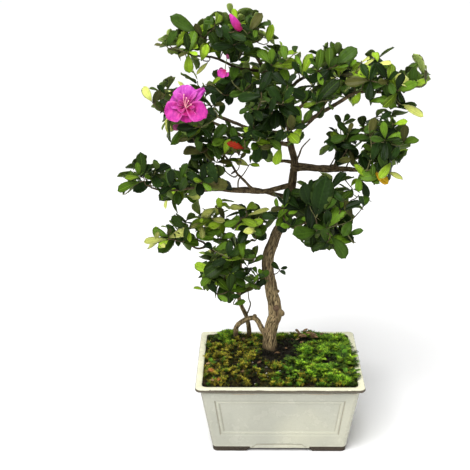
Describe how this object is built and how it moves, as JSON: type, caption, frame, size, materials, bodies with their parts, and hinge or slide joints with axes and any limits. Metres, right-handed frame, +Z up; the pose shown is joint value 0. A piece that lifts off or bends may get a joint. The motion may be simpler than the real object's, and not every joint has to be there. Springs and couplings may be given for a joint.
{
  "type": "potted azalea bonsai",
  "caption": "Azalea bonsai with a curved bare trunk, an arched root, layered leafy boughs and a pink bloom, standing in a footed rectangular glazed pot filled with mossy soil.",
  "frame": {"origin": "on the table, at the middle of the pot's feet, which is also the middle of the whole plant's width and depth to within a few millimetres", "axes": "+Z up along the plant's height, -Y out of the pot's long front that the picture shows, +X to the right of that front"},
  "size_m": [0.3522, 0.1873, 0.5304],
  "materials": {
    "pot": "glossy",
    "soil": "matte",
    "bark": "rough",
    "leaves": "satin"
  },
  "bodies": {
    "root": {"arch_root_drop": "bark", "arch_root_rise": "bark", "bough_back_left": "bark", "bough_back_low_left": "bark", "bough_back_low_right": "bark", "bough_back_mid_right": "bark", "bough_back_right": "bark", "bough_back_top": "bark", "bough_flower": "bark", "bough_left_fork": "bark", "bough_left_low": "bark", "bough_left_mid": "bark", "bough_right_low": "bark", "bough_right_mid": "bark", "bough_right_top": "bark", "bough_stem_back": "bark", "bough_stem_left": "bark", "bough_stem_low": "bark", "bough_top_left": "bark", "foliage_apex": "leaves", "foliage_back_left": "leaves", "foliage_back_low_left": "leaves", "foliage_back_low_right": "leaves", "foliage_back_mid_right": "leaves", "foliage_back_right": "leaves", "foliage_back_top": "leaves", "foliage_centre_front": "leaves", "foliage_flower": "leaves", "foliage_left_inner": "leaves", "foliage_left_mid": "leaves", "foliage_left_outer": "leaves", "foliage_left_top_inner": "leaves", "foliage_left_upper": "leaves", "foliage_low_front": "leaves", "foliage_low_right": "leaves", "foliage_right_inner": "leaves", "foliage_right_mid": "leaves", "foliage_right_mid_inner": "leaves", "foliage_right_top": "leaves", "foliage_right_top_inner": "leaves", "foliage_stem_back": "leaves", "foliage_stem_left": "leaves", "foliage_stem_low": "leaves", "foliage_stem_mid": "leaves", "foliage_stem_right": "leaves", "foliage_stem_top": "leaves", "foliage_top_inner": "leaves", "foliage_top_left": "leaves", "foliage_trunk_low": "leaves", "pot": "pot", "second_stem": "bark", "soil": "soil", "trunk": "bark"}
  },
  "joints": []
}
